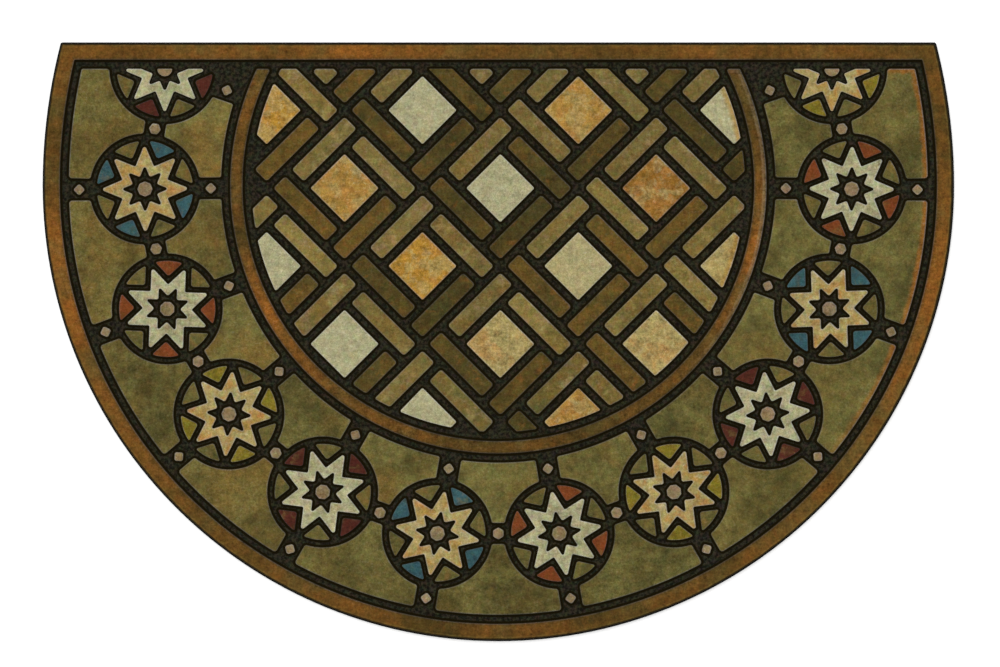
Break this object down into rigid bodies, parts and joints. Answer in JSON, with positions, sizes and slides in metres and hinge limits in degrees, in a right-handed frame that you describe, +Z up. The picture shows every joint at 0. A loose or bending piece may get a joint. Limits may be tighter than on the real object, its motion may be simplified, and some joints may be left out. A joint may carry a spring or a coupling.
{
  "type": "half-round doormat",
  "caption": "Half-round rubber-backed doormat with a flocked face moulded in relief: border bands, a ring of star roundels and a pinwheel tile field.",
  "frame": {"origin": "on the floor, under the middle of the mat's bounding box", "axes": "+X along the straight edge, +Y from the round edge to the straight edge, +Z up from the floor"},
  "size_m": [0.889, 0.584, 0.008],
  "materials": {
    "rubber": "matt black crumb rubber",
    "textile": "short flocked pile, printed in browns, olive, cream and gold with charcoal channels"
  },
  "bodies": {
    "root": {"rubber_backing": "rubber", "moulded_face": "textile"}
  },
  "joints": []
}
